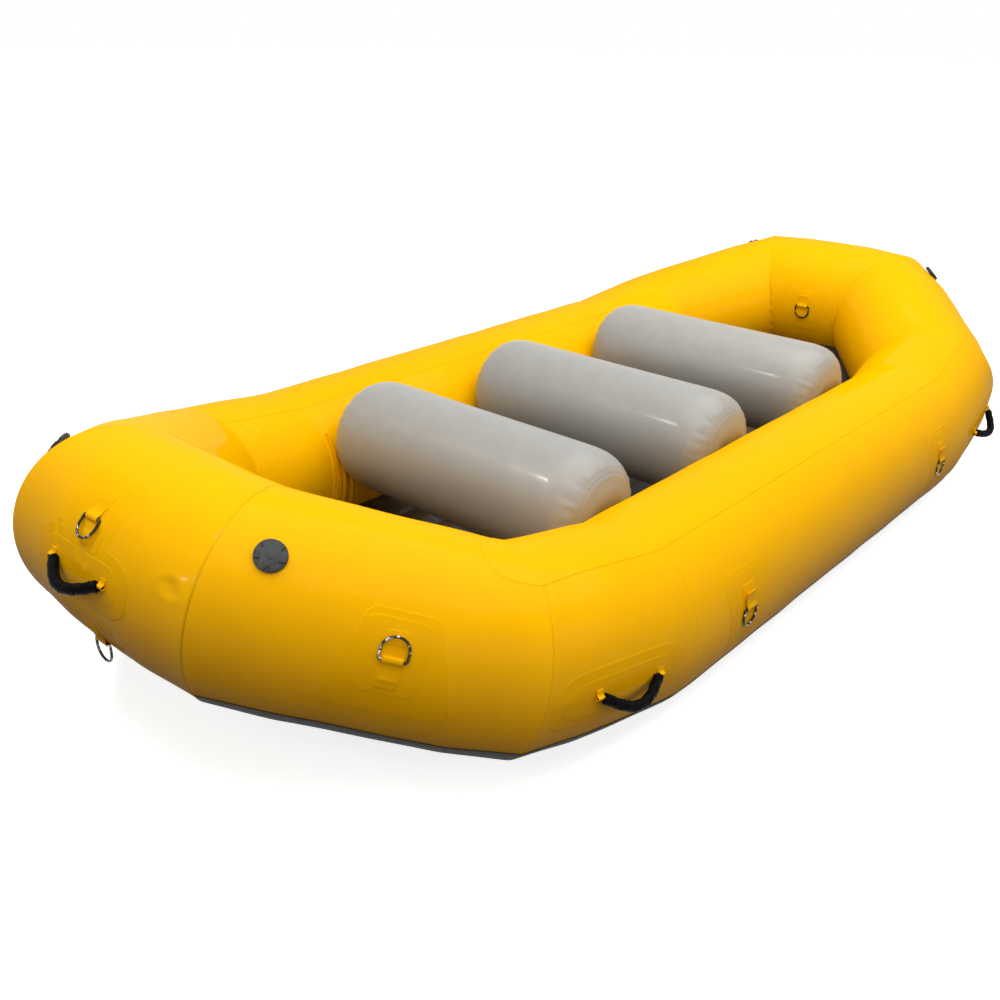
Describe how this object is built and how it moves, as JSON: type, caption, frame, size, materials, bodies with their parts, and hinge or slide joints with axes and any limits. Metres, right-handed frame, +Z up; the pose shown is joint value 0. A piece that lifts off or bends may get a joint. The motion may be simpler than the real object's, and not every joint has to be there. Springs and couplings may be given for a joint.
{
  "type": "whitewater raft",
  "caption": "Inflatable self-bailing whitewater raft: upturned bow and stern, welded tube panels, round thwarts, air floor, valves, D-rings and grab handles.",
  "frame": {"origin": "on the ground under the middle of the raft", "axes": "+X towards the bow, +Y to port, +Z up"},
  "size_m": [4.1022, 1.9834, 0.745],
  "materials": {
    "tube_fabric": "glossy coated fabric, welded panels",
    "baffle_fabric": "coated fabric, inside the tube",
    "patch_fabric": "glossy coated fabric and webbing",
    "thwart_fabric": "satin coated fabric",
    "floor_fabric": "dull coated fabric",
    "chafe_fabric": "dull coated fabric",
    "valve_plastic": "moulded, fine matt",
    "ring_steel": "polished stainless steel",
    "handle_rubber": "matt ribbed rubber over webbing"
  },
  "bodies": {
    "raft_body": {"bow_panel": "tube_fabric", "bow_quarter_panel_port": "tube_fabric", "bow_quarter_panel_starboard": "tube_fabric", "bow_shoulder_panel_port": "tube_fabric", "bow_shoulder_panel_starboard": "tube_fabric", "chafe_strip_port": "chafe_fabric", "chafe_strip_starboard": "chafe_fabric", "chamber_baffle_bow": "baffle_fabric", "chamber_baffle_port": "baffle_fabric", "chamber_baffle_starboard": "baffle_fabric", "chamber_baffle_stern": "baffle_fabric", "d_ring_anchor_aft_port": "patch_fabric", "d_ring_anchor_aft_starboard": "patch_fabric", "d_ring_anchor_bow_lower": "patch_fabric", "d_ring_anchor_bow_port": "patch_fabric", "d_ring_anchor_bow_starboard": "patch_fabric", "d_ring_anchor_bow_upper": "patch_fabric", "d_ring_anchor_fore_port": "patch_fabric", "d_ring_anchor_fore_starboard": "patch_fabric", "d_ring_anchor_stern_inner": "patch_fabric", "d_ring_anchor_stern_upper": "patch_fabric", "floor": "floor_fabric", "floor_valve": "valve_plastic", "side_panel_port": "tube_fabric", "side_panel_starboard": "tube_fabric", "stern_panel": "tube_fabric", "stern_quarter_panel_port": "tube_fabric", "stern_quarter_panel_starboard": "tube_fabric", "stern_shoulder_panel_port": "tube_fabric", "stern_shoulder_panel_starboard": "tube_fabric", "thwart_aft": "thwart_fabric", "thwart_aft_valve": "valve_plastic", "thwart_fore": "thwart_fabric", "thwart_fore_valve": "valve_plastic", "thwart_middle": "thwart_fabric", "thwart_middle_valve": "valve_plastic", "valve_body_bow_port": "valve_plastic", "valve_body_bow_starboard": "valve_plastic", "valve_body_stern_port": "valve_plastic", "valve_body_stern_starboard": "valve_plastic"},
    "d_ring_bow_upper": {"d_ring_bow_upper": "ring_steel"},
    "d_ring_bow_lower": {"d_ring_bow_lower": "ring_steel"},
    "d_ring_stern_upper": {"d_ring_stern_upper": "ring_steel"},
    "d_ring_stern_inner": {"d_ring_stern_inner": "ring_steel"},
    "d_ring_bow_port": {"d_ring_bow_port": "ring_steel"},
    "d_ring_bow_starboard": {"d_ring_bow_starboard": "ring_steel"},
    "d_ring_fore_port": {"d_ring_fore_port": "ring_steel"},
    "d_ring_aft_port": {"d_ring_aft_port": "ring_steel"},
    "d_ring_fore_starboard": {"d_ring_fore_starboard": "ring_steel"},
    "d_ring_aft_starboard": {"d_ring_aft_starboard": "ring_steel"},
    "grab_handle_bow": {"grab_handle_bow": "handle_rubber"},
    "grab_handle_stern": {"grab_handle_stern": "handle_rubber"},
    "grab_handle_bow_port": {"grab_handle_bow_port": "handle_rubber"},
    "grab_handle_stern_port": {"grab_handle_stern_port": "handle_rubber"},
    "grab_handle_stern_starboard": {"grab_handle_stern_starboard": "handle_rubber"},
    "grab_handle_bow_starboard": {"grab_handle_bow_starboard": "handle_rubber"},
    "valve_cap_bow_port": {"valve_cap_bow_port": "valve_plastic"},
    "valve_cap_stern_port": {"valve_cap_stern_port": "valve_plastic"},
    "valve_cap_stern_starboard": {"valve_cap_stern_starboard": "valve_plastic"},
    "valve_cap_bow_starboard": {"valve_cap_bow_starboard": "valve_plastic"}
  },
  "joints": [
    {"name": "d_ring_bow_upper_swing", "type": "hinge", "parent": "raft_body", "child": "d_ring_bow_upper", "pos_m": [1.93531, 0, 0.66687], "axis": [0, -1, 0], "range_deg": [0, 180]},
    {"name": "d_ring_bow_lower_swing", "type": "hinge", "parent": "raft_body", "child": "d_ring_bow_lower", "pos_m": [1.96273, 0, 0.35606], "axis": [0, -1, 0], "range_deg": [-30, 150]},
    {"name": "d_ring_stern_upper_swing", "type": "hinge", "parent": "raft_body", "child": "d_ring_stern_upper", "pos_m": [-1.93531, 0, 0.66687], "axis": [0, 1, 0], "range_deg": [0, 180]},
    {"name": "d_ring_stern_inner_swing", "type": "hinge", "parent": "raft_body", "child": "d_ring_stern_inner", "pos_m": [-1.48399, 0, 0.50192], "axis": [0, -1, 0], "range_deg": [0, 180]},
    {"name": "d_ring_bow_port_swing", "type": "hinge", "parent": "raft_body", "child": "d_ring_bow_port", "pos_m": [1.67544, 0.6728, 0.4663], "axis": [0.6957, -0.6543, 0.2965], "range_deg": [-180, 0]},
    {"name": "d_ring_bow_starboard_swing", "type": "hinge", "parent": "raft_body", "child": "d_ring_bow_starboard", "pos_m": [1.67544, -0.6728, 0.4663], "axis": [-0.6957, -0.6543, -0.2965], "range_deg": [-180, 0]},
    {"name": "d_ring_fore_port_swing", "type": "hinge", "parent": "raft_body", "child": "d_ring_fore_port", "pos_m": [0.6755, 0.97151, 0.27616], "axis": [1, 0, 0], "range_deg": [0, 180]},
    {"name": "d_ring_aft_port_swing", "type": "hinge", "parent": "raft_body", "child": "d_ring_aft_port", "pos_m": [-0.6755, 0.97151, 0.27616], "axis": [1, 0, 0], "range_deg": [0, 180]},
    {"name": "d_ring_fore_starboard_swing", "type": "hinge", "parent": "raft_body", "child": "d_ring_fore_starboard", "pos_m": [0.6755, -0.97151, 0.27616], "axis": [-1, 0, 0], "range_deg": [0, 180]},
    {"name": "d_ring_aft_starboard_swing", "type": "hinge", "parent": "raft_body", "child": "d_ring_aft_starboard", "pos_m": [-0.6755, -0.97151, 0.27616], "axis": [-1, 0, 0], "range_deg": [0, 180]},
    {"name": "grab_handle_bow_swing", "type": "hinge", "parent": "raft_body", "child": "grab_handle_bow", "pos_m": [1.9953, 0, 0.55621], "axis": [0, -1, 0], "range_deg": [0, 100]},
    {"name": "grab_handle_stern_swing", "type": "hinge", "parent": "raft_body", "child": "grab_handle_stern", "pos_m": [-1.9953, 0, 0.55621], "axis": [0, 1, 0], "range_deg": [0, 100]},
    {"name": "grab_handle_bow_port_swing", "type": "hinge", "parent": "raft_body", "child": "grab_handle_bow_port", "pos_m": [1.1797, 0.94225, 0.27503], "axis": [0.9821, -0.1206, 0.1446], "range_deg": [0, 100]},
    {"name": "grab_handle_stern_port_swing", "type": "hinge", "parent": "raft_body", "child": "grab_handle_stern_port", "pos_m": [-1.1797, 0.94225, 0.27503], "axis": [0.9821, 0.1206, -0.1446], "range_deg": [0, 100]},
    {"name": "grab_handle_stern_starboard_swing", "type": "hinge", "parent": "raft_body", "child": "grab_handle_stern_starboard", "pos_m": [-1.1797, -0.94225, 0.27503], "axis": [-0.9821, 0.1206, 0.1446], "range_deg": [0, 100]},
    {"name": "grab_handle_bow_starboard_swing", "type": "hinge", "parent": "raft_body", "child": "grab_handle_bow_starboard", "pos_m": [1.1797, -0.94225, 0.27503], "axis": [-0.9821, -0.1206, -0.1446], "range_deg": [0, 100]},
    {"name": "valve_cap_bow_port_turn", "type": "hinge", "parent": "raft_body", "child": "valve_cap_bow_port", "pos_m": [1.78464, 0.43661, 0.66828], "axis": [0.4147, 0.6062, 0.6786], "range_deg": [0, 90]},
    {"name": "valve_cap_stern_port_turn", "type": "hinge", "parent": "raft_body", "child": "valve_cap_stern_port", "pos_m": [-1.78464, 0.43661, 0.66828], "axis": [-0.4147, 0.6062, 0.6786], "range_deg": [0, 90]},
    {"name": "valve_cap_stern_starboard_turn", "type": "hinge", "parent": "raft_body", "child": "valve_cap_stern_starboard", "pos_m": [-1.78464, -0.43661, 0.66828], "axis": [-0.4147, -0.6062, 0.6786], "range_deg": [0, 90]},
    {"name": "valve_cap_bow_starboard_turn", "type": "hinge", "parent": "raft_body", "child": "valve_cap_bow_starboard", "pos_m": [1.78464, -0.43661, 0.66828], "axis": [0.4147, -0.6062, 0.6786], "range_deg": [0, 90]}
  ]
}
